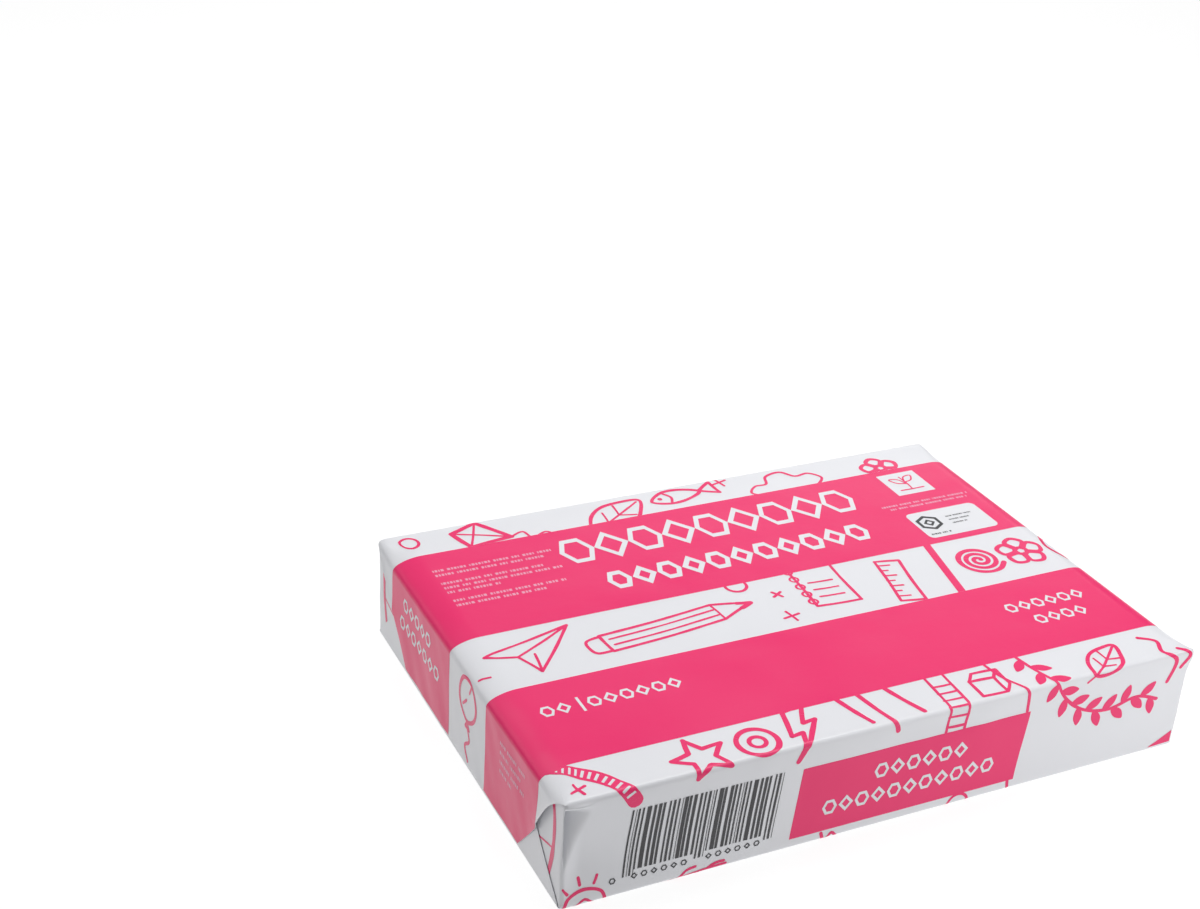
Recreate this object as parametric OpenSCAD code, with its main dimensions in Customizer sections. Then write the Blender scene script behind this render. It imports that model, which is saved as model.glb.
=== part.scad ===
// A ream of copier paper, wrapped and sealed. The stack of sheets is closed in one printed wrapper:
// a sleeve that laps along the underside, with both ends folded the way a parcel is.
// The origin is on the surface that the ream lies on, under its middle. X runs along the sheets,
// Y across them from the front face to the back, and Z up through the stack. All sizes are in mm.

/* [Sheets] */
// Length of a sheet
sheet_l = 297; // [250:1:420]
// Width of a sheet
sheet_w = 210; // [190:1:297]
// Number of sheets in the stack
sheet_count = 500; // [400:50:600]
// Thickness of one sheet
sheet_t = 0.1; // [0.09:0.005:0.12]

/* [Wrapper] */
// Room that the wrapper takes on each long side
wrap_t = 0.25; // [0.1:0.05:0.6]
// Radius of the four long edges
edge_r = 2.2; // [0.6:0.1:3]
// Radius of the upright corners
corner_r = 2; // [0.8:0.1:4]
// How far in from each end the top starts to sag
shoulder_run = 14; // [6:0.5:24]
// How far the top has dropped where it turns down the end
shoulder_drop = 6; // [3:0.5:12]
// How far in from each end the underside starts to lift
toe_run = 3; // [1:0.5:8]
// How far the underside has lifted where it turns up the end
toe_lift = 1.5; // [0.5:0.25:4]
// Distance from the front face to the edge of the lap on the underside
lap_from_front = 140; // [115:1:180]
// Step at the edge of the lap
lap_t = 0.2; // [0.1:0.05:0.5]

/* [End folds] */
// Step from one fold of an end to the next
fold_step = 0.35; // [0.2:0.05:0.8]
// Steepness of the sides of the top flap, in degrees
flap_slope = 50; // [42:1:60]
// Steepness of the sides of the bottom flap, in degrees
tuck_slope = 45; // [38:1:55]
// Height of the top flap's free edge over the underside
flap_edge_z = 3.5; // [1:0.5:12]
// How far the tucked corner sinks in under the shoulder
tuck_sink = 1.6; // [0.6:0.1:3]
// How far the gap behind the top flap reaches past the flap's edge
tuck_reach = 5; // [1:0.5:12]
// How far the pinched corner stands out past the end
ear_l = 2; // [0.5:0.1:5]
// Height of the pinched corner
ear_h = 13; // [8:0.5:25]
// Thickness of the pinched corner
ear_t = 0.7; // [0.4:0.1:1.5]

/* [Print] */
// Colour of the bare wrapper
paper_colour = "#eceaf2"; // ["#eceaf2", "#ffffff", "#e8e2d4"]
// Colour of the printed fields
field_colour = "#ee3f76"; // ["#ee3f76", "#2f6fc4", "#3a9c5a"]
// Colour of the bar pattern
bar_colour = "#3c3c44"; // ["#3c3c44", "#000000"]
// Bare margin between the front edge and the narrow band
margin = 22.5; // [12:0.5:40]
// Width of the narrow band
narrow_band_w = 53.5; // [30:0.5:70]
// Bare strip between the bands
between_w = 41; // [20:0.5:60]
// Width of the wide band
wide_band_w = 72; // [50:0.5:90]
// Distance from the left end to the middle of the two rows of shapes
row_from_left = 152; // [130:1:165]
// Size of a shape in the large row
large_shape = 17.5; // [10:0.5:20]
// Distance from one shape of the large row to the next
large_pitch = 17.5; // [16:0.5:20]
// Distance from the wide band's far edge to the middle of the large row
large_row_in = 20; // [14:0.5:24]
// Size of a shape in the small row
small_shape = 12; // [6:0.5:12]
// Distance from one shape of the small row to the next
small_pitch = 12.5; // [11:0.5:14]
// Distance from the wide band's near edge to the middle of the small row
small_row_in = 22; // [10:0.5:26]
// Width of the line that the shapes are drawn with
shape_line = 2.2; // [1:0.1:2.4]
// How much the shapes are stretched across the band
shape_stretch = 1.4; // [1:0.05:1.6]
// Side of the square label
square_label = 21.5; // [12:0.5:24]
// Length of the oblong label
oblong_label_l = 39.5; // [24:0.5:50]
// Width of the oblong label
oblong_label_w = 24; // [14:0.5:26]
// Radius of the oblong label's corners
oblong_label_r = 3; // [1:0.5:6]
// Distance from the right end to the middle of both labels
label_from_right = 34; // [28:1:45]
// Distance from each label to the nearer edge of the wide band
label_in = 4.5; // [2:0.5:8]
// Distance from the left end to the panel on the front face
panel_from_left = 101; // [95:1:130]
// Length of the panel
panel_l = 110; // [60:1:130]
// Height of the panel
panel_h = 34; // [20:0.5:40]
// Height of the panel's lower edge over the underside
panel_z = 5; // [3:0.5:8]
// How far the top of the panel leans to the right
panel_lean = 3; // [0:0.5:6]
// Distance from the left end to the bar pattern on the front face
bars_from_left = 27; // [15:1:28]
// Number of bars
bar_count = 30; // [10:1:40]
// Length of the bar pattern
bars_l = 66; // [40:1:67]
// Height of the bars
bars_h = 29; // [15:0.5:34]
// Height of the bars' lower end over the underside
bars_z = 11; // [5:0.5:12]
// How far the top of the bars leans to the right
bars_lean = 2.5; // [0:0.5:5]

/* [Hidden] */

$fn = 64;
curve_steps = 12;
clear = 5;

stack_h = sheet_count * sheet_t;
end_stack = 3 * fold_step;
pack_l = sheet_l + 2 * end_stack;
pack_w = sheet_w + 2 * wrap_t;
pack_h = stack_h + 2 * wrap_t;
left = -pack_l / 2;
right = pack_l / 2;
front = -pack_w / 2;
back = pack_w / 2;

// The tucked corner lies two folds in from the top flap. The gap between them widens upwards, and
// closes at this angle round the shoulder, where the sunken corner meets the flap's underside.
tuck_x = left + 2 * fold_step;
gap_angle = acos((shoulder_run - 2 * fold_step - tuck_sink) / (shoulder_run - fold_step));
gap_top = pack_h - shoulder_drop + (shoulder_drop - fold_step) * sin(gap_angle);

// Sides of the two flaps, which cross at this height and distance from the front face.
flap_run = 1 / tan(flap_slope);
tuck_run = 1 / tan(tuck_slope);
cross_z = pack_h * flap_run / (flap_run + tuck_run);
cross_y = cross_z * tuck_run;

narrow_y = front + margin;
wide_y = narrow_y + narrow_band_w + between_w;
wide_far_y = wide_y + wide_band_w;
print_depth = 1;
large_count = 9;
small_count = 11;
row_sides = [6, 4];
bar_shares = [0.3, 0.7, 0.4, 0.5];
bar_skip = 3;

// Points of a quarter of an ellipse about a centre, from the first angle to the last.
function quarter(cx, cz, rx, rz, from, to) =
    [for (i = [0 : curve_steps])
        let (a = from + (to - from) * i / curve_steps)
        [cx + rx * cos(a), cz + rz * sin(a)]];

// A square with round corners, drawn about its middle.
module round_square(l, w, r) {
    square([l - 2 * r, w], center = true);
    square([l, w - 2 * r], center = true);
    for (x = [-1, 1], y = [-1, 1])
        translate([x * (l / 2 - r), y * (w / 2 - r)]) circle(r);
}

// Turns an outline drawn in Y and Z into a bar along X.
module along_x(from, length) {
    translate([from, 0, 0]) rotate([90, 0, 90]) linear_extrude(length) children();
}

// Turns an outline drawn in X and Z into a bar along Y.
module along_y(from, length) {
    translate([0, from + length, 0]) rotate([90, 0, 0]) linear_extrude(length) children();
}

// The wrapped stack seen from the front: soft shoulders over the ends, and small lifts under them.
module side_outline() {
    polygon(concat(
        quarter(left + toe_run, toe_lift, toe_run, toe_lift, 270, 180),
        quarter(left + shoulder_run, pack_h - shoulder_drop, shoulder_run, shoulder_drop, 180, 90),
        quarter(right - shoulder_run, pack_h - shoulder_drop, shoulder_run, shoulder_drop, 90, 0),
        quarter(right - toe_run, toe_lift, toe_run, toe_lift, 0, -90)));
}

// The stack in its sleeve, before the ends are folded: three outlines, each carried right through.
module sleeve() {
    intersection() {
        along_x(left - clear, pack_l + 2 * clear)
            translate([0, pack_h / 2]) round_square(pack_w, pack_h, edge_r);
        along_y(front - clear, pack_w + 2 * clear) side_outline();
        translate([0, 0, -clear]) linear_extrude(pack_h + 2 * clear)
            round_square(pack_l, pack_w, corner_r);
    }
}

// Outline of the top flap on the end: its sides run in from the top corners to its free edge.
module top_flap_outline() {
    reach = (pack_h - flap_edge_z) * flap_run;
    polygon([[front, pack_h + clear], [front, pack_h], [front + reach, flap_edge_z],
             [back - reach, flap_edge_z], [back, pack_h], [back, pack_h + clear]]);
}

// Outline of the bottom flap, which comes up first and ends a little way behind the top flap.
module bottom_flap_outline() {
    reach = cross_z + tuck_reach;
    polygon([[front, -clear], [front, 0], [front + reach * tuck_run, reach],
             [back - reach * tuck_run, reach], [back, 0], [back, -clear]]);
}

// What the left end lacks outside its flaps. The first layer bares the bottom flap, and the
// second bares the tucked corners.
module fold_layers() {
    under_shoulder = pack_h - shoulder_drop;
    difference() {
        translate([left - clear, front - clear, -clear])
            cube([clear + fold_step, pack_w + 2 * clear, under_shoulder + clear]);
        along_x(left - 2 * clear, 4 * clear) top_flap_outline();
    }
    difference() {
        translate([left - clear, front - clear, -clear])
            cube([clear + 2 * fold_step, pack_w + 2 * clear, under_shoulder + clear]);
        along_x(left - 2 * clear, 4 * clear) {
            top_flap_outline();
            bottom_flap_outline();
        }
    }
}

// The gap that opens between the top flap and a tucked corner, seen from the front. It follows
// the underside of the shoulder, and its inner side is the sunken corner.
module gap_outline() {
    reach = curve_steps / 2;
    polygon(concat(
        [[tuck_x, cross_z], [left + fold_step, cross_z]],
        [for (i = [0 : reach])
            let (a = 180 - gap_angle * i / reach)
            [left + shoulder_run + (shoulder_run - fold_step) * cos(a),
             pack_h - shoulder_drop + (shoulder_drop - fold_step) * sin(a)]]));
}

// Where that gap lies on the end: over the tucked corner and a little way behind the flap's edge.
module gap_reach_outline() {
    polygon([[front - clear, cross_z], [front + cross_y + tuck_reach, cross_z],
             [front + tuck_reach, gap_top], [front - clear, gap_top]]);
}

// The gaps at both corners of the left end.
module corner_gaps() {
    for (side = [0, 1]) mirror([0, side, 0])
        intersection() {
            along_y(front - clear, cross_y + tuck_reach + 2 * clear) gap_outline();
            along_x(left - clear, shoulder_run + clear) gap_reach_outline();
        }
}

// The corner that was pinched flat when the right end was folded, in line with the front face.
module pinched_corner() {
    tip_z = pack_h - shoulder_drop / 2;
    along_y(front, ear_t)
        polygon([[right - shoulder_run / 2, pack_h - edge_r], [right + ear_l, tip_z],
                 [right + ear_l, tip_z - ear_t], [right - 2 * fold_step, pack_h - ear_h],
                 [right - shoulder_run / 2, pack_h - ear_h]]);
}

// The sealed ream, with both ends folded and the lap along its underside.
module folded_ream() {
    difference() {
        sleeve();
        for (end = [0, 1]) mirror([end, 0, 0]) {
            fold_layers();
            corner_gaps();
        }
        translate([left - clear, front + lap_from_front, -clear])
            cube([pack_l + 2 * clear, pack_w, clear + lap_t]);
    }
    pinched_corner();
}

// One plain shape of a printed row, drawn as an outline of equal sides and stretched.
module row_shape(size, sides) {
    scale([1, shape_stretch]) difference() {
        circle(size / 2, $fn = sides);
        circle(size / 2 - shape_line / cos(180 / sides), $fn = sides);
    }
}

// A row of such shapes along X.
module shape_row(count, size, pitch) {
    for (i = [0 : count - 1])
        translate([(i - (count - 1) / 2) * pitch, 0])
            row_shape(size, row_sides[i % len(row_sides)]);
}

// The bare shapes and labels that the wide band leaves open.
module band_openings() {
    translate([left + row_from_left, wide_far_y - large_row_in])
        shape_row(large_count, large_shape, large_pitch);
    translate([left + row_from_left, wide_y + small_row_in])
        shape_row(small_count, small_shape, small_pitch);
    translate([right - label_from_right, wide_far_y - label_in - square_label / 2])
        square(square_label, center = true);
    translate([right - label_from_right, wide_y + label_in + oblong_label_w / 2])
        round_square(oblong_label_l, oblong_label_w, oblong_label_r);
}

// One band over the top, down both shoulders and down both end flaps.
module band(near_y, width) {
    translate([left - clear, near_y, pack_h - shoulder_drop])
        cube([pack_l + 2 * clear, width, shoulder_drop + clear]);
    for (end = [0, 1]) mirror([end, 0, 0]) intersection() {
        translate([left - clear, near_y, 0]) cube([clear + fold_step, width, pack_h]);
        along_x(left - 2 * clear, 4 * clear) top_flap_outline();
    }
}

// The printed fields: the two bands and the panel on the front face.
module printed_fields() {
    difference() {
        union() {
            band(narrow_y, narrow_band_w);
            band(wide_y, wide_band_w);
        }
        translate([0, 0, pack_h - print_depth]) linear_extrude(print_depth + clear) band_openings();
    }
    along_y(front - clear, clear + print_depth)
        translate([left + panel_from_left, panel_z])
            polygon([[0, 0], [panel_l, 0], [panel_l + panel_lean, panel_h], [panel_lean, panel_h]]);
}

// The bar pattern on the front face, with bars of three widths.
module bar_pattern() {
    pitch = bars_l / bar_count;
    along_y(front - clear, clear + print_depth)
        translate([left + bars_from_left, bars_z])
            for (i = [0 : bar_count - 1]) {
                wide = pitch * bar_shares[(i * bar_skip) % len(bar_shares)];
                translate([i * pitch, 0])
                    polygon([[0, 0], [wide, 0], [bars_lean + wide, bars_h], [bars_lean, bars_h]]);
            }
}

module wrapped_ream() {
    color(paper_colour) difference() {
        folded_ream();
        printed_fields();
        bar_pattern();
    }
    color(field_colour) intersection() {
        folded_ream();
        printed_fields();
    }
    color(bar_colour) intersection() {
        folded_ream();
        bar_pattern();
    }
}

wrapped_ream();
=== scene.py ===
import math

import bmesh
import bpy
import numpy as np
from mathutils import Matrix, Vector, noise


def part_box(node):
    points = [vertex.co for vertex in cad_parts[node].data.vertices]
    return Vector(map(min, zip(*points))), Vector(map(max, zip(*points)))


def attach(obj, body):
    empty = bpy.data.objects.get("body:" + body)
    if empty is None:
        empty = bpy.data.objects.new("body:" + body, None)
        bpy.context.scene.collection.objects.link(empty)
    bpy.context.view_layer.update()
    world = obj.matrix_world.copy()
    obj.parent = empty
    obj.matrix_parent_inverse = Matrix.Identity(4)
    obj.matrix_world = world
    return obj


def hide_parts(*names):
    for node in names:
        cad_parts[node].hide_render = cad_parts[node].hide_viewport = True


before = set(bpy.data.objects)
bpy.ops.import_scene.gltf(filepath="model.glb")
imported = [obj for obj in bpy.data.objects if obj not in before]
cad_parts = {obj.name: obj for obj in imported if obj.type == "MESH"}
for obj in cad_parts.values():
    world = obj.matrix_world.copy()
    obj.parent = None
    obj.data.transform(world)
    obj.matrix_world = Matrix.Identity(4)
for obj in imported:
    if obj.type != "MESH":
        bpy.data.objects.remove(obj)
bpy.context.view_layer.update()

# The wrapper
# One sheet of white coated paper of about 90 grams closes the whole stack. It runs round the
# stack as a sleeve that is lapped and glued underneath, and its ends are folded like a parcel's:
# the long sides tuck in first, the bottom flap comes up over them, and the top flap comes down.
MM = 0.001
lowest_corner, highest_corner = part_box("wrapped_ream")
end_x = -lowest_corner[0] / MM
side_y = highest_corner[1] / MM
top_z = highest_corner[2] / MM
width = 2 * side_y
fold_step = 0.35
tuck_x = end_x - 2 * fold_step
bottom_flap_x = end_x - fold_step
lap_y = 140.0
lap_under = 14.0
lap_step = 0.2
edge_radius = 2.2
corner_radius = 2.0
shoulder_run = 14.0
shoulder_drop = 6.0
corner_run = 4.0
corner_drop = 2.6
right_end_share = 0.66
toe_run = 3.0
toe_lift = 1.5
flap_edge_z = 3.5
flap_run = 1 / math.tan(math.radians(50))
tuck_run = 1 / math.tan(math.radians(45))
paper_thickness = 0.18

# How far the soft paper leaves the plain folds, and where. All lengths here are millimetres.
slack_from_corner = 17
near_side_hollow = 4.4
near_side_depth = 30
near_side_limit = 21.8
tuck_sink = 0.6
side_curl = 1.3
far_side_share = 0.4
edge_curl = 0.25
lip_depth = 3.2
crest_dent = 0.8
crest_foot_z = 19
crest_height = 26
crest_foot_width = 1.5
crest_spread = 10
corner_dent = 3
front_sag = 2.2
sag_from_end = 9
sag_fade = 22
ripple_height = 0.28
small_ripple_height = 0.12
bars_middle = 90
bar_crinkle_height = 0.45
panel_middle = 190
panel_crinkle_height = 0.6
lip_roll = 1.1
top_hollow = 0.18
top_hill_height = 0.18
small_top_hill_height = 0.05
crease_height = 0.22
end_wave_height = 0.2
pinch_reach = 2.2


def ease(t):
    """A smooth rise from 0 to 1 while t goes from 0 to 1."""
    t = np.clip(t, 0.0, 1.0)
    return t * t * (3 - 2 * t)


def waves(x, y, seed, span):
    """Smooth hills and hollows between about -1 and 1, with span millimetres from one to the next."""
    return np.array([noise.noise((a / span, b / span, seed)) for a, b in zip(x, y)])


def round_edge(a, b, edge_a, edge_b, radius_a, radius_b):
    """Carry points round an edge: the square corner beyond the edge's centre line becomes an arc."""
    u = np.maximum((a - edge_a) / radius_a + 1, 0)
    v = np.maximum((b - edge_b) / radius_b + 1, 0)
    near = (u > 0) & (v > 0)
    pull_a = np.where(near, u * (np.sqrt(np.maximum(1 - v * v / 2, 0)) - 1), 0.0)
    pull_b = np.where(near, v * (np.sqrt(np.maximum(1 - u * u / 2, 0)) - 1), 0.0)
    return a + pull_a * radius_a, b + pull_b * radius_b


def near_side(down):
    """How far the near side of a top flap has run in at this depth. It is hollow beside the corner."""
    straight_in = down * flap_run
    hollow_in = near_side_hollow * np.sin(np.pi * np.clip(down / near_side_depth, 0, 1) ** 0.55)
    return np.maximum(straight_in, np.minimum(straight_in + hollow_in, near_side_limit))


def front_push(x, z, across):
    """How far in the front face lies at a point.

    Below the lip of the top sheet it is dented along a crest that widens upwards beside the near
    corner's upright fold, and deepest right at that fold. It sags inward around the dent, hangs a
    little loose all along, and is crinkled by the last bars and above the panel. The lip rolls out.
    """
    inward = end_x + x
    below_lip = ease((-across - lip_depth) / 2.2)
    crest = crest_foot_width + crest_spread * np.clip((z - crest_foot_z) / crest_height, 0, 1)
    dent = crest_dent * crest * np.clip((crest - inward) / crest, 0, 1) ** 1.3
    dent = dent + corner_dent * np.exp(-np.maximum(inward - 1.4, 0) / 1.6) * ease((z - 20) / 14)
    dent = dent * ease((inward - 0.8) / 1.2)
    fade = np.exp(-np.maximum(inward - sag_from_end, 0) / sag_fade)
    sag = front_sag * ease(inward / sag_from_end) * fade
    sag = sag * np.where(z > 21, ease((top_z - 2 - z) / 26), ease((z - 1) / 20))
    ripple = ripple_height * waves(x, z * 1.3, 2.5, 34) + small_ripple_height * waves(x, z, 7.5, 13)
    at_bars = np.exp(-((inward - bars_middle) / 14) ** 2)
    above_panel = np.exp(-((inward - panel_middle) / 38) ** 2 - ((z - 43) / 6) ** 2)
    crinkle = bar_crinkle_height * waves(x, z * 0.25, 11.5, 8) * at_bars
    crinkle = crinkle + panel_crinkle_height * waves(x, z, 13.5, 11) * above_panel
    loose = ease((end_x - np.abs(x)) / 10) * ease((z - 2) / 8) * ease((top_z - 1.5 - z) / 5)
    roll = lip_roll * np.exp(-((across + 2.6) / 1.0) ** 2 - ((inward - 8) / 5) ** 2)
    return below_lip * dent + sag - roll + (ripple + crinkle) * loose


def fold(along, across):
    """Where a point of the flat printed sheet lies once the ream is wrapped, in metres.

    along runs with the sheets from the middle of the pack, and past its ends it runs on into the
    flaps. across is 0 on the long top edge of the front face. It grows over the top and down the
    back, and is negative down the front face and on underneath. Both are in millimetres.
    """
    along, across = np.atleast_1d(along).astype(float), np.atleast_1d(across).astype(float)
    end = np.sign(along)
    reach = np.abs(along)
    top = (across >= 0) & (across <= width)
    front = (across < 0) & (across >= -top_z)
    back = (across > width) & (across <= width + top_z)
    under_front = across < -top_z
    under = under_front | (across > width + top_z)
    wall = front | back

    # The folds while they are still square: x is kept positive here, and gets its sign below.
    fold_at = np.where(top, end_x, np.where(wall, tuck_x, bottom_flap_x))
    past = np.maximum(reach - fold_at, 0)
    folded = past > 0
    up_wall = np.where(front, top_z + across, top_z - (across - width))
    in_under = np.where(under_front, -top_z - across, width - (across - width - top_z))
    y = np.where(top | under, across - side_y, np.where(front, -side_y, side_y))
    y = np.where(under, in_under - side_y, y)
    y = np.where(wall, y - np.sign(y) * past, y)
    z = np.where(top, top_z - past, np.where(wall, up_wall, np.where(under_front, 0.0, lap_step) + past))
    x = np.minimum(reach, fold_at)
    side = np.sign(y + 1e-9)

    # A tucked corner sinks in below the shoulder, and the side of the top flap stands off it.
    sunk = ease((past - 3) / 16) * ease((z - 20) / 22) * np.sqrt(ease((top_z - z) / 4))
    x = x - np.where(wall, sunk * tuck_sink, 0.0)
    side_run = np.where(y < 0, near_side(top_z - z), (top_z - z) * flap_run)
    from_side = np.maximum(side_y - np.abs(y) - side_run, 0)
    curl = side_curl * np.exp(-from_side / 3.5) * ease((top_z - z) / 8) * ease((z - 12) / 20)
    curl = curl + edge_curl * np.exp(-np.maximum(z - flap_edge_z, 0) / 4)
    x = np.where(top & folded, x + curl * np.where(side < 0, 1.0, far_side_share), x)

    # The shoulders sag between the corners of the stack, where the wrapper is stretched tight.
    around = np.abs(y)
    slack = ease((side_y - around) / slack_from_corner)
    share = np.where(end > 0, right_end_share, 1.0)
    run = corner_run + (shoulder_run * share - corner_run) * slack
    drop = corner_drop + (shoulder_drop * share - corner_drop) * slack
    around, z = round_edge(around, z, side_y, top_z, edge_radius, edge_radius)
    around, under_z = round_edge(around, -z, side_y, 0.0, edge_radius, edge_radius)
    z = -under_z
    x, around = round_edge(x, around, np.where(top, end_x, tuck_x), side_y, corner_radius, corner_radius)
    x, z = round_edge(x, z, end_x, top_z, run, drop)
    x, under_z = round_edge(x, -z, np.where(top, end_x, fold_at), 0.0, toe_run, toe_lift)
    z = -under_z
    x = end * x
    y = side * around

    # The front face is pushed in, the top lies a little hollow, and the ends are creased.
    y = y + np.where(front & ~folded, front_push(x, z, across), 0.0)
    on_top = ease((z - top_z + 9) / 6)
    inner = ease((side_y - np.abs(y)) / 12) * ease((end_x - np.abs(x)) / 6)
    hills_on_top = top_hill_height * waves(x, y, 4.5, 62) + small_top_hill_height * waves(x, y, 9.5, 21)
    z = z - on_top * inner * (top_hollow + hills_on_top)
    on_end = ease((np.abs(x) - end_x + 3) / 2)
    crease = crease_height * waves(y - 0.5 * z, z * 0.35, 5.5, 9) + end_wave_height * waves(y, z, 1.5, 30)
    x = x + np.sign(x) * on_end * crease * ease((top_z - z - 3) / 8) * ease(z / 4)

    # The near corner of the right end was pinched out when it was folded.
    pinch = np.exp(-((z - top_z + 3.5) / 4.5) ** 2 - ((y + side_y) / 2.2) ** 2) * ease((x - end_x + 9) / 9)
    x = x + pinch_reach * pinch
    return np.stack([x, y, z], axis=-1) * MM


def steps(start, stop, step):
    """Even steps from start to stop, both of them included."""
    count = max(1, round(abs(stop - start) / step))
    return [start + (stop - start) * i / count for i in range(count + 1)]


def merged(values):
    """The values in order, each once, with none closer than a hundredth to the last."""
    kept = []
    for value in sorted(values):
        if not kept or value - kept[-1] > 0.01:
            kept.append(value)
    return kept


# The lines of the sheet's grid, along and across. They lie closest where it bends most.
turns = [math.sqrt(2) * math.sin(math.radians(45 * i / 12)) for i in range(13)]
shoulder_top = [end_x - shoulder_run * (1 - turn) for turn in turns]
shoulder_end = [end_x + shoulder_drop * (1 - turn) for turn in turns]
corner_lines = [tuck_x - corner_radius * (1 - turn) for turn in turns[::3]]
before_shoulder = end_x - 28
coarse_step = 2.7
half_lines = steps(0, before_shoulder, coarse_step) + steps(before_shoulder, end_x - shoulder_run, 1.4)
half_lines += [x for x in shoulder_top if x < tuck_x] + corner_lines
flap_end = end_x + top_z - flap_edge_z
flap_lines = merged([tuck_x, end_x] + [x for x in shoulder_top if x > tuck_x] + shoulder_end
                    + steps(end_x + shoulder_drop, flap_end, 1.3))
tuck_end = tuck_x + 34
tuck_lines = merged([tuck_x + corner_radius * (1 - turn) for turn in turns[::3]]
                    + steps(tuck_x + corner_radius, tuck_end, 1.6))
bottom_toe = bottom_flap_x + 3
bottom_flap_end = bottom_flap_x + 30
bottom_lines = merged([tuck_x, bottom_flap_x] + steps(bottom_flap_x, bottom_toe, 0.4)
                      + steps(bottom_toe, bottom_flap_end, 2.2))
along_lines = merged(half_lines + [-x for x in half_lines])

edge_bend = [edge_radius * (1 - turn) for turn in turns[::2]]
top_lines = merged(steps(edge_radius, width - edge_radius, coarse_step) + edge_bend
                   + [width - bend for bend in edge_bend])
front_lines = merged(steps(-edge_radius, edge_radius - top_z, 1.5) + [-bend for bend in edge_bend]
                     + [bend - top_z for bend in edge_bend])
back_lines = [width - line for line in reversed(front_lines)]
just_off_top = 0.001
tuck_front_lines = front_lines[:-1] + [-just_off_top]
tuck_back_lines = [width + just_off_top] + back_lines[1:]
under_step = 6
under_front_lines = merged([-top_z - bend for bend in edge_bend]
                           + steps(-top_z - edge_radius, -top_z - lap_y, under_step))
under_back_end = width + top_z + width - lap_y + lap_under
under_back_lines = merged([width + top_z + bend for bend in edge_bend]
                          + steps(width + top_z + edge_radius, under_back_end, under_step))


def add_patch(bm, columns, rows, taper=None):
    """A grid of the flat sheet, folded. taper(along) gives how far the ends of a row run in."""
    grid = []
    for along in columns:
        near, far = taper(abs(along)) if taper else (0, 0)
        span = rows[-1] - rows[0]
        across = [rows[0] + near + (row - rows[0]) * (span - near - far) / span for row in rows]
        within = np.clip(across, rows[0], rows[-1])
        points = fold(np.full(len(rows), along), within)
        grid.append([bm.verts.new(point) for point in points])
    for left, right in zip(grid, grid[1:]):
        for i in range(len(rows) - 1):
            bm.faces.new((left[i], right[i], right[i + 1], left[i + 1]))


def flap_taper(reach):
    """How far the near and the far side of a top flap have run in, this far along the sheet."""
    down = max(reach - end_x, 0)
    return float(near_side(down)), down * flap_run


def bottom_taper_front(reach):
    """The same for the front part of a bottom flap, which runs in at its outer side only."""
    return 0, max(reach - bottom_flap_x, 0) * tuck_run


def bottom_taper_back(reach):
    """The same for the back part of a bottom flap."""
    return max(reach - bottom_flap_x, 0) * tuck_run, 0


def make_object(name, bm, material):
    """The mesh as a smooth object of one material in the scene."""
    mesh = bpy.data.meshes.new(name)
    bm.to_mesh(mesh)
    bm.free()
    mesh.shade_smooth()
    mesh.materials.append(material)
    piece = bpy.data.objects.new(name, mesh)
    bpy.context.scene.collection.objects.link(piece)
    return piece


weld_within = 0.00002
bm = bmesh.new()
for rows in (under_front_lines, front_lines, top_lines, back_lines, under_back_lines):
    add_patch(bm, along_lines, rows)
for turn in (-1, 1):
    add_patch(bm, [turn * x for x in flap_lines][::turn], top_lines, flap_taper)
    add_patch(bm, [turn * x for x in tuck_lines][::turn], tuck_front_lines)
    add_patch(bm, [turn * x for x in tuck_lines][::turn], tuck_back_lines)
    add_patch(bm, [turn * x for x in bottom_lines][::turn], under_front_lines, bottom_taper_front)
    add_patch(bm, [turn * x for x in bottom_lines][::turn], under_back_lines, bottom_taper_back)
bmesh.ops.remove_doubles(bm, verts=bm.verts, dist=weld_within)

# Shared by the paper and the inks: the sheet's faint hills, the fine cockle of paper that is
# stretched over a stack, and how the coating's gloss goes from patch to patch.
relief = bpy.data.node_groups.new("sheet_relief", "ShaderNodeTree")
relief.interface.new_socket("Normal", in_out="OUTPUT", socket_type="NodeSocketVector")
relief.interface.new_socket("Roughness", in_out="OUTPUT", socket_type="NodeSocketFloat")
relief_out = relief.nodes.new("NodeGroupOutput")
place = relief.nodes.new("ShaderNodeTexCoord")
hills = relief.nodes.new("ShaderNodeTexNoise")
hills.inputs["Scale"].default_value = 38
hills.inputs["Detail"].default_value = 1.5
hills.inputs["Roughness"].default_value = 0.4
cockle = relief.nodes.new("ShaderNodeTexNoise")
cockle.inputs["Scale"].default_value = 260
cockle.inputs["Detail"].default_value = 2
patches = relief.nodes.new("ShaderNodeTexNoise")
patches.inputs["Scale"].default_value = 22
hills_bump = relief.nodes.new("ShaderNodeBump")
hills_bump.inputs["Strength"].default_value = 0.5
hills_bump.inputs["Distance"].default_value = 0.0009
cockle_bump = relief.nodes.new("ShaderNodeBump")
cockle_bump.inputs["Strength"].default_value = 0.35
cockle_bump.inputs["Distance"].default_value = 0.00012
gloss = relief.nodes.new("ShaderNodeMapRange")
gloss.inputs["To Min"].default_value = 0.22
gloss.inputs["To Max"].default_value = 0.42
for texture in (hills, cockle, patches):
    relief.links.new(place.outputs["Object"], texture.inputs["Vector"])
relief.links.new(hills.outputs["Fac"], hills_bump.inputs["Height"])
relief.links.new(cockle.outputs["Fac"], cockle_bump.inputs["Height"])
relief.links.new(hills_bump.outputs["Normal"], cockle_bump.inputs["Normal"])
relief.links.new(cockle_bump.outputs["Normal"], relief_out.inputs["Normal"])
relief.links.new(patches.outputs["Fac"], gloss.inputs["Value"])
relief.links.new(gloss.outputs["Result"], relief_out.inputs["Roughness"])


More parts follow.
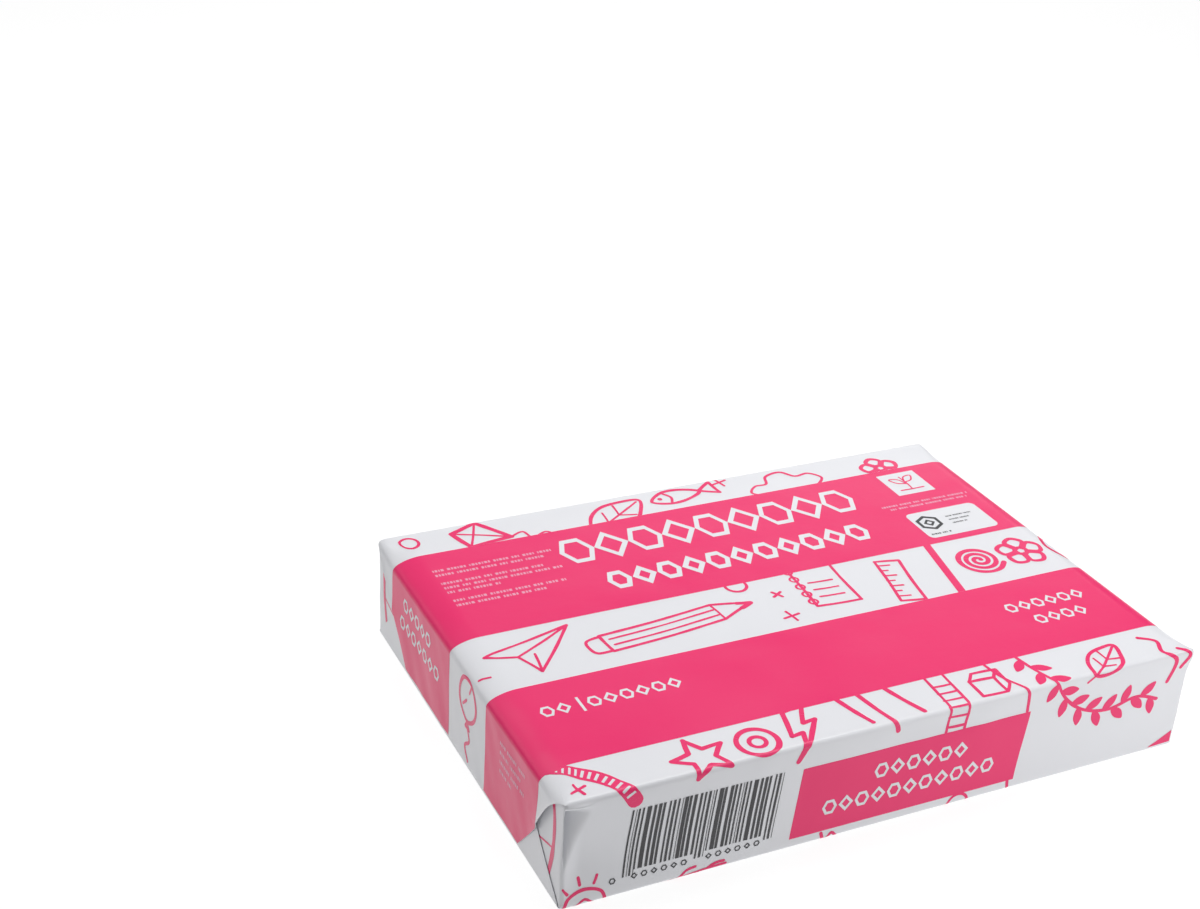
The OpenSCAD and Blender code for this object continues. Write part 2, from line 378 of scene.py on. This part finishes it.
def sheet_material(name, colour):
    """Smooth coated paper, or ink on it, in one colour and with the sheet's relief."""
    material = bpy.data.materials.new(name)
    material.use_nodes = True
    nodes, links = material.node_tree.nodes, material.node_tree.links
    surface = nodes.new("ShaderNodeGroup")
    surface.node_tree = relief
    shader = nodes["Principled BSDF"]
    shader.inputs["Base Color"].default_value = colour
    shader.inputs["Specular IOR Level"].default_value = 0.35
    links.new(surface.outputs["Normal"], shader.inputs["Normal"])
    links.new(surface.outputs["Roughness"], shader.inputs["Roughness"])
    return material


paper = sheet_material("coated_paper", (0.7, 0.705, 0.735, 1))
wrapper = make_object("wrapper", bm, paper)
thicken = wrapper.modifiers.new("thickness", "SOLIDIFY")
thicken.thickness = paper_thickness * MM
thicken.offset = -1
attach(wrapper, "root")
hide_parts("wrapped_ream")

# The printed bands
# Two broad bands of pink ink run over the top of the sleeve and down both end flaps. They were
# printed on the flat sheet, so they follow each fold and stop at the flaps' edges.
pink_ink = sheet_material("pink_ink", (0.77, 0.026, 0.143, 1))
left_end, right_end = -end_x, end_x
narrow_band = (22.5, 76.0)
wide_band = (117.0, 189.0)
ink_lift = 0.05
layer_step = 0.002
layer_count = 17
slope_sample = 0.05
end_fold_lines = flap_lines + tuck_lines
print_lines_along = merged(along_lines + [-x for x in end_fold_lines] + end_fold_lines)
print_lines_across = merged(top_lines + front_lines + back_lines)


def cut(bm, axis, at, drop_below=False, drop_above=False):
    """Cut the flat print along one line of the sheet, and drop what lies on one side if asked."""
    on_line = (at, 0, 0) if axis == 0 else (0, at, 0)
    normal = (1, 0, 0) if axis == 0 else (0, 1, 0)
    bmesh.ops.bisect_plane(bm, geom=bm.verts[:] + bm.edges[:] + bm.faces[:], dist=1e-5, plane_co=on_line,
                           plane_no=normal, clear_inner=drop_below, clear_outer=drop_above)


def laid_print(name, outlines, lift, ink, near=None, far=None):
    """Flat outlines on the sheet, cut where it folds and laid on it, between near and far if given.

    Outlines that cross one another lie a few thousandths apart, in the order they are drawn in.
    """
    bm = bmesh.new()
    for i, outline in enumerate(outlines):
        turning = sum(a[0] * b[1] - b[0] * a[1] for a, b in zip(outline, outline[1:] + outline[:1]))
        outline = outline if turning > 0 else outline[::-1]
        above = layer_step * (i % layer_count)
        bm.faces.new([bm.verts.new((along, across, above)) for along, across in outline])
    if near is not None:
        cut(bm, 1, near, drop_below=True)
    if far is not None:
        cut(bm, 1, far, drop_above=True)
    coords = np.array([v.co[:2] for v in bm.verts])
    lowest, highest = coords.min(axis=0), coords.max(axis=0)
    for axis, lines in ((0, print_lines_along), (1, print_lines_across)):
        for line in lines:
            if lowest[axis] < line < highest[axis]:
                cut(bm, axis, line)
    along, across, above = np.array([v.co[:] for v in bm.verts]).T
    rise = np.cross(fold(along + slope_sample, across) - fold(along - slope_sample, across),
                    fold(along, across + slope_sample) - fold(along, across - slope_sample))
    rise = rise / np.maximum(np.linalg.norm(rise, axis=1, keepdims=True), 1e-12)
    for vert, point in zip(bm.verts, fold(along, across) + rise * (lift + above)[:, None] * MM):
        vert.co = point
    piece = make_object(name, bm, ink)
    piece.data.normals_split_custom_set_from_vertices([tuple(n) for n in rise])
    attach(piece, "root")
    return piece


def band_outline(near, far):
    """A band from one flap's free edge to the other's, cut back where a flap's side runs in."""
    longest = flap_end - end_x
    near_reach = min(longest, near / flap_run)
    far_reach = min(longest, (width - far) / flap_run)
    right = [(end_x + near_reach, near)]
    if near_reach < longest:
        right.append((flap_end, longest * flap_run))
    if far_reach < longest:
        right.append((flap_end, width - longest * flap_run))
    right.append((end_x + far_reach, far))
    return right + [(-along, across) for along, across in reversed(right)]


both_bands = [band_outline(*narrow_band), band_outline(*wide_band)]
bands = laid_print("printed_bands", both_bands, ink_lift, pink_ink)

# The front panel
# A field of pink on the front face that leans a little to the right. Its top and bottom edges run
# along the pack, and the front's two rows of small shapes lie in it.
panel_x = left_end + 101
panel_low = 5 - top_z
panel_high = panel_low + 34
panel_length = 110
panel_lean = 3
panel = [(panel_x, panel_low), (panel_x + panel_length, panel_low),
         (panel_x + panel_length + panel_lean, panel_high), (panel_x + panel_lean, panel_high)]
front_panel = laid_print("front_panel", [panel], ink_lift, pink_ink)

# The rows of white shapes
# Outlined shapes left white in the pink: two rows of large ones in the wide band, and rows of small
# ones on the narrow band, the flaps and the front panel. They are laid on the pink as thin shapes.
white_lift = 0.09


def placed(points, x, s, turn=0.0, size=1.0):
    """Points of a drawing turned, scaled and set down on the flat sheet."""
    c, d = math.cos(math.radians(turn)) * size, math.sin(math.radians(turn)) * size
    return [(x + c * a - d * b, s + d * a + c * b) for a, b in points]


def set_down(outlines, x, s, turn=0.0, size=1.0):
    """Several outlines turned, scaled and set down together."""
    return [placed(outline, x, s, turn, size) for outline in outlines]


def corners(sides, radius, turn=0.0):
    """The corners of a regular shape about its middle."""
    unit = [(math.cos(math.tau * i / sides), math.sin(math.tau * i / sides)) for i in range(sides)]
    return placed(unit, 0, 0, turn, radius)


def hollow(sides, radius, line, turn=0.0):
    """The outline of a regular shape as one quad a side."""
    outside = corners(sides, radius, turn)
    inside = corners(sides, radius - line / math.cos(math.pi / sides), turn)
    return [[outside[i - 1], outside[i], inside[i], inside[i - 1]] for i in range(sides)]


def shape_row(count, size, pitch, line, stretch):
    """Hexagons and diamonds by turns in a row about the middle, stretched across the row."""
    row = []
    for i in range(count):
        for quad in hollow((6, 4)[i % 2], size / 2, line):
            row.append([(a + (i - (count - 1) / 2) * pitch, b * stretch) for a, b in quad])
    return row


large_shape = (17.5, 17.5, 2.2, 1.4)
medium_shape = (12, 12.5, 2.2, 1.4)
small_shape = (6.4, 7.2, 1.05, 1.2)
panel_shape = (7, 7.7, 1.15, 1.15)
large_x = left_end + 152
shapes = set_down(shape_row(9, *large_shape), large_x, wide_band[1] - 20)
shapes += set_down(shape_row(11, *medium_shape), large_x, wide_band[0] + 22)
shapes += set_down(shape_row(2, *small_shape), left_end + 22, 57)
shapes += set_down(shape_row(6, *small_shape), left_end + 57, 57)
stroke_left, stroke_right = left_end + 32.4, left_end + 33.6
shapes.append([(stroke_left, 52), (stroke_right, 52), (stroke_right, 62), (stroke_left, 62)])
shapes += set_down(shape_row(6, *small_shape), right_end - 38, 56)
shapes += set_down(shape_row(4, *small_shape), right_end - 38, 44)
for end in (left_end, right_end):
    outward = math.copysign(1, end)
    shapes += set_down(shape_row(5, *small_shape), end + outward * 14, 157, 90)
    shapes += set_down(shape_row(7, *small_shape), end + outward * 25, 154, 90)
shapes += set_down(shape_row(6, *panel_shape), panel_x + 60, panel_low + 23.5)
shapes += set_down(shape_row(11, *panel_shape), panel_x + 56, panel_low + 11.5)
white_rows = laid_print("white_shape_rows", shapes, white_lift, paper)

# The fine pale rows
# Rows of very small upright marks, printed in a pale tint of the pink: three groups at the left
# of the wide band, two rows between its labels, and one group on each flap of the narrow band.
group_sizes = (4, 7, 3, 6, 5)
mark_widths = (0.5, 0.8, 0.35, 0.65)
mark_gap = 0.32
group_gap = 0.7


def mark_row(length, height, seed):
    """Small upright marks set in groups, with a gap after each group, filling a line."""
    row, at, i = [], 0.0, seed
    while at < length:
        for k in range(group_sizes[i * 3 % 5]):
            wide = height * mark_widths[(i + k * 3) % 4]
            if at + wide < length:
                row.append([(at, 0), (at + wide, 0), (at + wide, height), (at, height)])
            at += wide + height * mark_gap
        at += height * group_gap
        i += 1
    return row


fine_print = sheet_material("fine_print", (0.74, 0.36, 0.47, 1))
mark_height = 1.7
low_mark_height = 1.5
fine = []
left_groups = ((172.8, 58), (168.9, 55), (161.6, 50), (157.7, 59), (153.8, 26), (146.6, 54), (142.7, 43))
for i, (s, length) in enumerate(left_groups):
    fine += set_down(mark_row(length, mark_height, i), left_end + 13, s)
fine += set_down(mark_row(50, low_mark_height, 2), right_end - 60, 154.4)
fine += set_down(mark_row(45, low_mark_height, 4), right_end - 57, 151.2)
for end in (left_end, right_end):
    outward = math.copysign(1, end)
    for i, (down, length) in enumerate(((13, 26), (17.5, 22), (22, 27), (26.5, 15))):
        fine += set_down(mark_row(length, mark_height, i), end + outward * down, 60, -90)
fine_rows = laid_print("fine_pale_rows", fine, white_lift, fine_print)

# The two labels
# Two white fields at the right of the wide band, a square one behind and a larger oblong one with
# round corners in front of it. They are bare paper that the pink was printed round.
square_label = 21.5
oblong_length = 39.5
oblong_depth = 24
label_inset = 4.5


def rounded(length, depth, radius):
    """An oblong with round corners about its middle."""
    outline = []
    for side_x, side_s, start in ((1, 1, 0), (-1, 1, 90), (-1, -1, 180), (1, -1, 270)):
        for i in range(7):
            angle = math.radians(start + 15 * i)
            outline.append((side_x * (length / 2 - radius) + radius * math.cos(angle),
                            side_s * (depth / 2 - radius) + radius * math.sin(angle)))
    return outline


label_x = right_end - 34
square_label_s = wide_band[1] - label_inset - square_label / 2
oblong_label_s = wide_band[0] + label_inset + oblong_depth / 2
labels = [placed(rounded(square_label, square_label, 0.4), label_x, square_label_s)]
labels.append(placed(rounded(oblong_length, oblong_depth, 3), label_x, oblong_label_s))
label_fields = laid_print("label_fields", labels, white_lift, paper)

# The dark printing
# Grey-black ink on the bare white: the leaning bars on the front face with a row of tiny shapes
# under them, and the fine marks and a small hexagon on the oblong label.
dark_ink = sheet_material("dark_ink", (0.045, 0.045, 0.05, 1))
dark_lift = 0.13
bar_x = left_end + 27
bar_low = 11 - top_z
bar_high = 40 - top_z
bar_lean = 2.5
bar_count = 30
bar_pitch = 66 / bar_count
bar_shares = (0.34, 0.72, 0.46, 0.24, 0.62, 0.36, 0.52)
long_bars = (0, 1, 14, 15, 28, 29)
long_bar_drop = 2.5
hairline = 0.25
tiny_shape = (1.5, 0.5)
tiny_s = bar_low - 3


def bar(x, foot, wide):
    """A bar from its foot up to the common upper edge, leaning to the right."""
    low_x = x + (foot - bar_low) * bar_lean / (bar_high - bar_low)
    high_x = x + bar_lean
    return [(low_x, foot), (low_x + wide, foot), (high_x + wide, bar_high), (high_x, bar_high)]


dark = []
for i in range(bar_count):
    wide = bar_pitch * bar_shares[i * 5 % len(bar_shares)]
    foot = bar_low - (long_bar_drop if i in long_bars else 0)
    start = bar_x + (i + 0.1 * (i * 5 % 3 - 1)) * bar_pitch
    dark.append(bar(start, foot, wide))
    if wide < 0.4 * bar_pitch:
        dark.append(bar(start + 0.78 * bar_pitch, foot, hairline))
dark += set_down(hollow(6, *tiny_shape), bar_x - 4.5, tiny_s)
for start in (4.8, 37.2):
    for i in range(6):
        dark += set_down(hollow((4, 6)[i % 2], *tiny_shape), bar_x + start + i * 4.3, tiny_s)
for i in range(3):
    dark += set_down(mark_row(15 - 3 * i, 1.0, i), label_x - 1, oblong_label_s + 3.5 - i * 3.2)
dark += set_down(hollow(6, 6.8, 1.6, 30), label_x - 12, oblong_label_s + 1.5)
dark += set_down(hollow(4, 3.2, 1.2), label_x - 12, oblong_label_s + 1.5)
dark += set_down(mark_row(12, 1.2, 3), label_x - 17.5, oblong_label_s - 9.4)
dark_marks = laid_print("dark_printing", dark, dark_lift, dark_ink)

# The drawing on the square label
# A small sprout in the pink ink. Like all the drawings it is made of pen lines that swell and
# thin a little, with round ends.
pen_swell = 0.2
pen_bow = 0.012


def flowing(points, closed=False):
    """A smooth line through the points, as points about a millimetre apart."""
    ring = points[-1:] + points + points[:2] if closed else points[:1] + points + points[-1:]
    path = []
    for i in range(1, len(ring) - 2):
        p, q, r, t = ring[i - 1:i + 3]
        count = max(2, round(math.dist(q, r)))
        for k in range(count):
            w = k / count
            path.append(tuple(0.5 * (2 * q[n] + (r[n] - p[n]) * w
                                     + (2 * p[n] - 5 * q[n] + 4 * r[n] - t[n]) * w * w
                                     + (3 * q[n] - p[n] - 3 * r[n] + t[n]) * w ** 3) for n in (0, 1)))
    path.append(ring[-2])
    return path


def pen_line(path, wide):
    """A drawn line as quads that swell and thin a little, with round ends."""
    kept = [path[0]]
    for point in path[1:]:
        if math.dist(point, kept[-1]) > 0.05:
            kept.append(point)
    left, right = [], []
    for i, (x, s) in enumerate(kept):
        before, after = kept[max(i - 1, 0)], kept[min(i + 1, len(kept) - 1)]
        run = math.dist(before, after)
        half = wide / 2 * (1 + pen_swell * noise.noise((x / 7, s / 7, 3.5)))
        aside = ((before[1] - after[1]) / run * half, (after[0] - before[0]) / run * half)
        left.append((x + aside[0], s + aside[1]))
        right.append((x - aside[0], s - aside[1]))
    quads = [[right[i], right[i + 1], left[i + 1], left[i]] for i in range(len(kept) - 1)]
    for (x, s), (a, b) in ((kept[0], kept[1]), (kept[-1], kept[-2])):
        facing = math.degrees(math.atan2(s - b, x - a))
        quads.append([placed([(wide / 2, 0)], x, s, facing - 90 + 30 * i)[0] for i in range(7)])
    return quads


def curve(points, wide=1.4, closed=False):
    """A smooth pen line through the points."""
    return lambda at: pen_line(flowing(at(points), closed), wide)


def straight(points, wide=1.4, closed=False):
    """Straight pen lines from point to point, each a little bowed by the hand."""
    def draw(at):
        ring = at(points + points[:1] if closed else points)
        quads = []
        for i, (a, b) in enumerate(zip(ring, ring[1:])):
            bow = pen_bow * (-1) ** i
            middle = ((a[0] + b[0]) / 2 + bow * (b[1] - a[1]), (a[1] + b[1]) / 2 - bow * (b[0] - a[0]))
            quads += pen_line(flowing([a, middle, b]), wide)
        return quads
    return draw


def drawing(lines, x, s, turn=0.0, size=1.0):
    """A drawing of pen lines set down on the sheet. Its lines keep their width when it is scaled."""
    quads = []
    for line in lines:
        quads += line(lambda points: placed(points, x, s, turn, size))
    return quads


sprout = [curve([(0, -6), (0.4, -1), (0, 5)], 0.9),
          curve([(0, 0), (4, 1), (6, 5), (2, 4.4), (0, 0)], 0.9),
          curve([(0, -1.6), (-4, 0), (-6, 4), (-2, 3), (0, -1.6)], 0.9),
          straight([(-6, -6.6), (6, -6.6)], 1.0)]
sprout_lines = drawing(sprout, label_x, square_label_s + 1, 0, 1.1)
label_drawing = laid_print("label_drawing", sprout_lines, dark_lift, pink_ink)

# The drawings between the bands
# Line drawings in the pink ink, as if made with a felt pen, fill the white strip between the
# bands: a paper plane, a pencil, a notebook, a ruler, a spiral, a flower and one straight bar,
# with a balloon on each flap.
ink_gap = 0.02


def circle(x, s, radius, turns=1.0, grow=0.0):
    """Points round a circle, or along a spiral that grows by this much a point."""
    count = round(12 * turns) + (turns != 1)
    return [placed([(radius + grow * i, 0)], x, s, 30 * i)[0] for i in range(count)]


plane = [straight([(0, 8), (30, 13), (13, -5), (10, 4)], closed=True), straight([(10, 4), (30, 13)], 1.2),
         straight([(13, -5), (15, 3.5)], 1.2)]
pencil = [straight([(0, 0), (58, 0), (76, 6.5), (58, 13), (0, 13)], 1.6, True),
          straight([(58, 0), (58, 13)], 1.2),
          straight([(3, 4.2), (57, 4.2)], 1.2), straight([(3, 8.8), (57, 8.8)], 1.2),
          curve([(0, 0.5), (-7, 1.5), (-8.5, 6.5), (-7, 11.5), (0, 12.5)], 1.6),
          straight([(70, 4.4), (76, 6.5), (70, 8.6)], 2.4)]
notebook = [straight([(0, 0), (22, 0), (22, 36), (0, 36)], 1.5, True)]
notebook += [straight([(5, s), (17, s)], 1.2) for s in (7, 13, 19)]
notebook += [curve(circle(0, 4 + 6.5 * i, 2), 1.1, True) for i in range(5)]
ruler = [straight([(0, 0), (12, 0), (12, 34), (0, 34)], 1.6, True)]
ruler += [straight([(0, 4 + 4.4 * i), (6 - 2.5 * (i % 2), 4 + 4.4 * i)], 1.2) for i in range(7)]
spiral = [curve(circle(0, 0, 1.0, 2.9, 0.3), 2.5)]
petal = [(2.5, -1), (8, -4.5), (11.5, 0), (8, 4.5), (2.5, 1)]
flower = [curve(circle(0, 0, 3), 2.3, True)]
flower += [curve(placed(petal, 0, 0, 72 * i), 2.3) for i in range(5)]
sparkle = [straight([(-4, 0), (4, 0)], 1.4), straight([(0, -4), (0, 4)], 1.4)]
balloon = [curve([(0, 0), (8, 5), (10, 13), (5, 21), (-4, 21), (-9, 13), (-8, 5)], 2.0, True),
           straight([(-2, -3.5), (0, 0), (2.5, -3.5)], 1.6, True),
           curve([(0, -3), (3, -9), (-2, -14), (2, -20)], 1.6)]

gap = narrow_band[1]
between = drawing(plane, left_end + 8, gap + 14, 4, 1.5)
for x, s, stroke in ((-1, 14, (5, -1.5)), (-11, 18, (5, -2.5)), (-20, 25, (4, -4))):
    between += drawing([straight([(0, 0), stroke], 1.3)], left_end + x, gap + s)
between += drawing(pencil, left_end + 62, gap + 11, 6, 0.98)
between += drawing(sparkle, left_end + 147, gap + 9, 10)
between += drawing(sparkle, left_end + 150, gap + 27, 30, 0.7)
between += drawing([curve(circle(0, 0, 5), 1.5, True)], left_end + 136, gap + 40)
between += drawing(notebook, left_end + 162, gap + 12, -4)
between += drawing(ruler, left_end + 200, gap + 3, -12)
between += drawing(spiral, left_end + 255, gap + 21) + drawing(flower, left_end + 279, gap + 21, 10)
between += drawing([curve([(-4, -11), (-9, 0), (-3, 11)], 2.3)], right_end + 5, gap + 21)
between.append([(left_end + 228.5, gap - 1), (left_end + 232.5, gap - 1),
                (left_end + 241.5, gap + 42), (left_end + 237.5, gap + 42)])
between += drawing(balloon, left_end - 26, gap + 20, -90, 0.95)
between += drawing(balloon, right_end + 26, gap + 24, 90, 0.95)
between_drawings = laid_print("between_drawings", between, ink_lift, pink_ink,
                              narrow_band[1] + ink_gap, wide_band[0] - ink_gap)

# The drawings along the back
# More of the same drawings behind the wide band: a kite, leaves, a fish, clouds and others. They
# run over the long edge and down the back face, and are cut off where the band begins.
leaf = [curve([(0, 0), (7, 7), (9, 17), (5, 27), (0, 33), (-5, 27), (-9, 17), (-7, 7)], 1.9, True),
        curve([(0, -6), (0.6, 10), (0, 31)], 1.2)]
leaf += [straight([(0.5, low), (tip, low + 5)], 1.1) for low in (9, 17) for tip in (6, -6)]
kite = [straight([(0, -14), (11, 4), (0, 14), (-11, 4)], 2.6, True),
        straight([(0, -14), (0, 14)], 1.3), straight([(-11, 4), (11, 4)], 1.3),
        curve([(0, -14), (5, -19), (0, -24), (6, -30), (2, -36)], 1.3)]
cloud = [curve([(0, 0), (-4, 4), (0, 8), (5, 8), (8, 13), (15, 14), (19, 9), (25, 9), (28, 4), (24, 0)], 1.5),
         straight([(0, 0), (24, 0)], 1.5)]
fish = [curve([(0, 5), (8, 0), (18, 0.5), (27, 5), (18, 10.5), (8, 11)], 1.9, True),
        curve([(9, 1), (11, 5.5), (9, 10)], 1.4), straight([(27, 5.5), (36, 0), (36, 11)], 1.9, True),
        curve(circle(5, 6, 0.7), 1.2, True)]
strip = wide_band[1]
behind = drawing(kite, left_end + 46, strip + 8, 66)
behind += drawing(leaf, left_end + 98, strip - 6, -58, 1.15)
behind += drawing(fish, left_end + 136, strip + 5, 5) + drawing(cloud, left_end + 192, strip - 3, 4, 1.3)
behind += drawing(sparkle, left_end + 176, strip + 17, 15)
behind += drawing(flower, left_end + 262, strip + 3, 20, 0.9)
behind += drawing([curve(circle(0, 0, 4.5), 1.4, True)], left_end + 12, strip + 12)
behind += drawing(plane, left_end + 60, strip + 62, 190, 1.1)
behind += drawing(cloud, left_end + 96, strip + 36, 0, 1.2)
behind += drawing(pencil, left_end + 228, strip + 56, 176, 0.9)
behind += drawing(leaf, left_end + 262, strip + 32, -12)
behind += drawing(spiral, left_end + 26, strip + 34)
back_drawings = laid_print("back_drawings", behind, ink_lift, pink_ink,
                           wide_band[1] + ink_gap, width + top_z)

# The drawings over the front edge
# Bold drawings start on the top sheet and carry on down the front face: a star, a ring, a bolt,
# loose strokes, a ladder, a box, a leafy vine, a leaf, wavy lines and a striped ribbon.
bolt = [straight([(0, 0), (8, 14), (2.5, 14), (9, 29), (19, 29), (12, 19), (18, 19)], 2.2, True)]
star_points = [placed([(0, 12.5 if i % 2 == 0 else 5.6)], 0, 0, 36 * i)[0] for i in range(10)]
star = [straight(star_points, 2.2, True)]
box = [straight([(0, 0), (12, 0), (12, 11), (0, 11)], 1.6, True),
       straight([(0, 11), (4, 16), (16, 16), (12, 11)], 1.5),
       straight([(16, 16), (16, 5), (12, 0)], 1.5)]
ladder = [straight([(0, 0), (0, 36)], 1.4), straight([(9, 0), (9, 36)], 1.4)]
ladder += [straight([(0, 4 + 5 * i), (9, 4.4 + 5 * i)], 1.2) for i in range(6)]
over = drawing(star, left_end + 62, 8, 10)
over += drawing([curve(circle(0, 0, 8.5), 2.3, True)], left_end + 87, 9)
over += drawing([curve(circle(0, 0, 3.4), 1.9, True)], left_end + 87, 9)
over += drawing(bolt, left_end + 101, -7, 8)
for x, s, foot_x, foot_s in ((131, 24, 137, 4), (141, 24, 147, -4), (154, 24, 161, 3)):
    over += drawing([straight([(x, s), (foot_x, foot_s)], 2.3)], left_end, 0)
over += drawing(ladder, left_end + 171, -13, -5) + drawing(box, left_end + 190, 3, -3)
over += drawing([curve([(204, 24), (206, 12), (211, 0), (212, -11)], 1.5)], left_end, 0)
vine_points = ((220, 26), (223, 10), (229, -6), (241, -17), (256, -21), (271, -18), (283, -22))
vine = flowing([(left_end + x, s) for x, s in vine_points])
over += pen_line(vine, 1.6)
leaflet = flowing([(0, 0), (2.5, -2.0), (6, -2.4), (9.5, 0), (6, 1.9), (2.5, 1.7)], True)[:-1]
for i in range(7, len(vine) - 6, 5):
    (x, s), (a, b) = vine[i], vine[i + 1]
    facing = math.degrees(math.atan2(b - s, a - x))
    hand = (-1) ** i
    over.append(placed([(p, q * hand) for p, q in leaflet], x, s, facing + 52 * hand))
over += drawing(leaf, left_end + 246, -1, -52, 0.8)
over += drawing([curve([(281, 16), (287, 11), (284, 3), (290, -4), (287, -14)], 2.0)], left_end, 0)
over += drawing([curve([(292, 3), (296, -2), (293, -8)], 1.8)], left_end, 0)
ribbon = flowing([(left_end + 1, 25), (left_end + 12, 17), (left_end + 21, 9), (left_end + 30, -6)])
over += pen_line(ribbon, 6.6) + drawing(sparkle, left_end + 9, 7, 20, 0.9)
front_edge_drawings = laid_print("front_edge_drawings", over, ink_lift, pink_ink,
                                 None, narrow_band[0] - ink_gap)

# The stripes of the ribbon
# Short leaning stripes that the pink ribbon at the near corner leaves white. They are bare paper,
# laid on the ribbon as thin shapes.
stripe = [(-0.45, -2.1), (0.75, -2.1), (0.45, 2.1), (-0.75, 2.1)]
stripes = []
for i in range(2, len(ribbon) - 3, 3):
    before, after = ribbon[i - 1], ribbon[i + 1]
    facing = math.degrees(math.atan2(after[1] - before[1], after[0] - before[0]))
    stripes.append(placed(stripe, ribbon[i][0], ribbon[i][1], facing))
ribbon_stripes = laid_print("ribbon_stripes", stripes, white_lift, paper, None, narrow_band[0] - 1)

# The drawings at the foot of the front
# Small drawings that are cut off where the sheet turns under: a rising sun, a sprig, a zigzag, a
# ring, a short stroke, and a wedge at the right end.
sun = [curve([(-9, 0), (-7, 6.5), (0, 9), (7, 6.5), (9, 0)], 1.6),
       curve([(-4.5, 0), (0, 4.5), (4.5, 0)], 1.3)]
for turn in (70, 100, 130):
    sun.append(straight(placed([(11.5, 0), (15, 0)], 0, 0, turn), 1.3))
sprig = [curve([(0, 0), (16, 4), (34, 5)], 1.5), curve([(8, 2.5), (12, 7), (17, 8)], 1.3),
         curve([(17, 4), (21, 0.5), (26, 0)], 1.3), curve([(24, 5), (28, 7), (33, 7)], 1.3)]
foot_lines = drawing(sun, left_end + 11, -top_z - 1.5) + drawing(sprig, left_end + 45, -top_z - 2, 0, 0.8)
foot_lines += drawing([curve([(0, 5), (2, 0), (5, 4), (8, 0)], 1.5)], left_end + 116, -top_z - 1)
foot_lines += drawing([curve(circle(0, 0, 5), 1.5, True)], left_end + 183, -top_z)
foot_lines += drawing([straight([(0, 5.5), (0.5, 1)], 1.4)], left_end + 208, -top_z)
foot_lines.append([(left_end + 284, 2 - top_z), (left_end + 296.5, 2.5 - top_z),
                   (left_end + 296.5, 8.5 - top_z)])
foot_drawings = laid_print("foot_drawings", foot_lines, ink_lift, pink_ink, -top_z - 2, -1)

# The lines on the tucked corners
# The sheet's drawings run on into the tucked corners of both ends. There only a bold line that
# bends and a thin one across it show.
bold_line = ((10.5, 5), (8.8, 12), (8.2, 20), (8.8, 28), (11.5, 40))
thin_line = ((27, 32), (20, 29.5), (9, 26.5))
tucks = []
for end in (left_end, right_end):
    outward = math.copysign(1, end)
    for s, down in ((0, -1), (width, 1)):
        for line, wide in ((bold_line, 2.8), (thin_line, 0.9)):
            tucks += pen_line(flowing([(end + outward * (a - 0.7), s + down * b) for a, b in line]), wide)
tuck_drawings = laid_print("tuck_drawings", tucks, ink_lift, pink_ink)

# The table and the light
# A plain pale floor that is bright by itself, as white card under strong light is. One large soft
# lamp hangs overhead, small ones light the front and the ridge of its top edge, and two weak
# large ones stand at the left and behind.
floor_half = 6
floor_z = -0.0001
floor_corners = [(x * floor_half, y * floor_half, floor_z) for x, y in ((-1, -1), (1, -1), (1, 1), (-1, 1))]
floor_mesh = bpy.data.meshes.new("floor")
floor_mesh.from_pydata(floor_corners, [], [(0, 1, 2, 3)])
floor = bpy.data.objects.new("floor", floor_mesh)
bpy.context.scene.collection.objects.link(floor)
floor_paint = bpy.data.materials.new("pale_floor")
floor_paint.use_nodes = True
shader = floor_paint.node_tree.nodes["Principled BSDF"]
shader.inputs["Base Color"].default_value = (0.12, 0.12, 0.12, 1)
shader.inputs["Roughness"].default_value = 0.8
shader.inputs["Emission Color"].default_value = (1, 1, 1, 1)
shader.inputs["Emission Strength"].default_value = 0.91
floor_mesh.materials.append(floor_paint)


def soft_light(name, place, aim, size, power):
    """An oblong lamp at a place, turned to what it is aimed at."""
    data = bpy.data.lights.new(name, "AREA")
    data.shape = "RECTANGLE"
    data.size, data.size_y = size
    data.energy = power
    lamp = bpy.data.objects.new(name, data)
    lamp.location = place
    lamp.rotation_euler = (Vector(aim) - Vector(place)).to_track_quat("-Z", "Y").to_euler()
    lamp.visible_camera = False
    bpy.context.scene.collection.objects.link(lamp)


soft_light("overhead", (0.15, 0.36, 1.35), (0, 0.02, 0), (1.5, 0.9), 22)
soft_light("front_top", (0.5, -0.5, 0.45), (0.05, -0.1, 0.05), (0.3, 0.2), 1.0)
soft_light("right_front", (0.16, -0.36, 0.07), (0.16, -0.1, 0.02), (0.25, 0.08), 0.26)
soft_light("left_fill", (-0.85, 0.75, 0.85), (-0.15, 0, 0.03), (0.9, 0.9), 2.8)
soft_light("back_sheen", (1.1, 1.76, 0.8), (0.02, 0.05, 0.05), (1.4, 0.5), 4.0)
soft_light("ridge_glint", (0.4, -0.39, 0.67), (0, -0.105, 0.05), (0.5, 0.08), 0.6)

world = bpy.data.worlds.new("studio")
world.use_nodes = True
world.node_tree.nodes["Background"].inputs["Color"].default_value = (0.95, 0.96, 1, 1)
world.node_tree.nodes["Background"].inputs["Strength"].default_value = 0.03
bpy.context.scene.world = world
bpy.context.scene.view_settings.view_transform = "Standard"

# The camera
# It stands to the left before the front face and looks down on the near corner, from the place
# that a fit to the pack's edges gives, and it is rolled a little.
camera_data = bpy.data.cameras.new("camera")
camera_data.sensor_fit = "HORIZONTAL"
camera_data.sensor_width = 36
camera_data.lens = 54.64
camera = bpy.data.objects.new("camera", camera_data)
camera.location = (-0.38375, -0.58878, 0.4692)
camera.rotation_euler = [math.radians(a) for a in (63.003, -2.909, -25.010)]
bpy.context.scene.collection.objects.link(camera)
bpy.context.scene.camera = camera
